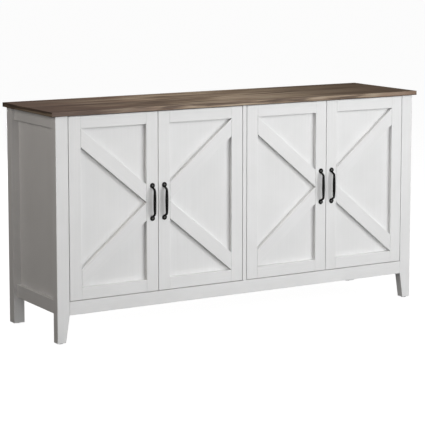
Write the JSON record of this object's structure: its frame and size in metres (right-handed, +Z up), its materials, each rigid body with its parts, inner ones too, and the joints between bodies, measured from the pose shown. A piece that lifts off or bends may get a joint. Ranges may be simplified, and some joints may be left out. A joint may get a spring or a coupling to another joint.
{
  "type": "sideboard buffet",
  "caption": "Long farmhouse sideboard buffet with a rustic plank top, white painted body on post legs, inset doors with K braces and black arched pulls.",
  "frame": {"origin": "on the floor, under the middle of the whole object's box (the box reaches from the door pulls to the back of the top)", "axes": "+X along the front to the right as seen from the front, the doors face -Y, +Z up"},
  "size_m": [1.473, 0.406, 0.769],
  "materials": {
    "white_paint": "satin white paint on fibreboard, edges slightly softened",
    "rustic_plank": "matt brown weathered wood grain running lengthways, dark edges",
    "back_board": "thin white-faced hardboard",
    "black_iron": "satin black cast pull",
    "nickel_plate": "nickel-plated steel",
    "black_plastic": "hard black plastic"
  },
  "bodies": {
    "cabinet": {"top_board": "rustic_plank", "front_post_left": "white_paint", "rear_post_left": "white_paint", "side_panel_left": "white_paint", "side_rail_bottom_left": "white_paint", "side_rail_top_left": "white_paint", "shelf_left": "white_paint", "front_glide_left": "black_plastic", "rear_glide_left": "black_plastic", "front_post_right": "white_paint", "rear_post_right": "white_paint", "side_panel_right": "white_paint", "side_rail_bottom_right": "white_paint", "side_rail_top_right": "white_paint", "shelf_right": "white_paint", "front_glide_right": "black_plastic", "rear_glide_right": "black_plastic", "front_rail": "white_paint", "bottom_panel": "white_paint", "rear_rail_bottom": "white_paint", "rear_rail_top": "white_paint", "divider": "white_paint", "back_panel": "back_board", "hinge_arm_1_lower": "nickel_plate", "hinge_arm_1_upper": "nickel_plate", "hinge_arm_2_lower": "nickel_plate", "hinge_arm_2_upper": "nickel_plate", "hinge_arm_3_lower": "nickel_plate", "hinge_arm_3_upper": "nickel_plate", "hinge_arm_4_lower": "nickel_plate", "hinge_arm_4_upper": "nickel_plate"},
    "door_1": {"door_1_frame": "white_paint", "door_1_panel": "white_paint", "door_1_brace_upper": "white_paint", "door_1_brace_lower": "white_paint", "door_1_handle": "black_iron", "door_1_hinge_cup_lower": "nickel_plate", "door_1_hinge_cup_upper": "nickel_plate"},
    "door_2": {"door_2_frame": "white_paint", "door_2_panel": "white_paint", "door_2_brace_upper": "white_paint", "door_2_brace_lower": "white_paint", "door_2_handle": "black_iron", "door_2_hinge_cup_lower": "nickel_plate", "door_2_hinge_cup_upper": "nickel_plate"},
    "door_3": {"door_3_frame": "white_paint", "door_3_panel": "white_paint", "door_3_brace_upper": "white_paint", "door_3_brace_lower": "white_paint", "door_3_handle": "black_iron", "door_3_hinge_cup_lower": "nickel_plate", "door_3_hinge_cup_upper": "nickel_plate"},
    "door_4": {"door_4_frame": "white_paint", "door_4_panel": "white_paint", "door_4_brace_upper": "white_paint", "door_4_brace_lower": "white_paint", "door_4_handle": "black_iron", "door_4_hinge_cup_lower": "nickel_plate", "door_4_hinge_cup_upper": "nickel_plate"}
  },
  "joints": [
    {"name": "door_1_hinge", "type": "hinge", "parent": "cabinet", "child": "door_1", "pos_m": [-0.6745, -0.18, 0.44675], "axis": [0, 0, -1], "range_deg": [0, 110]},
    {"name": "door_2_hinge", "type": "hinge", "parent": "cabinet", "child": "door_2", "pos_m": [-0.0095, -0.18, 0.44675], "axis": [0, 0, 1], "range_deg": [0, 85]},
    {"name": "door_3_hinge", "type": "hinge", "parent": "cabinet", "child": "door_3", "pos_m": [0.0095, -0.18, 0.44675], "axis": [0, 0, -1], "range_deg": [0, 85]},
    {"name": "door_4_hinge", "type": "hinge", "parent": "cabinet", "child": "door_4", "pos_m": [0.6745, -0.18, 0.44675], "axis": [0, 0, 1], "range_deg": [0, 110]}
  ]
}
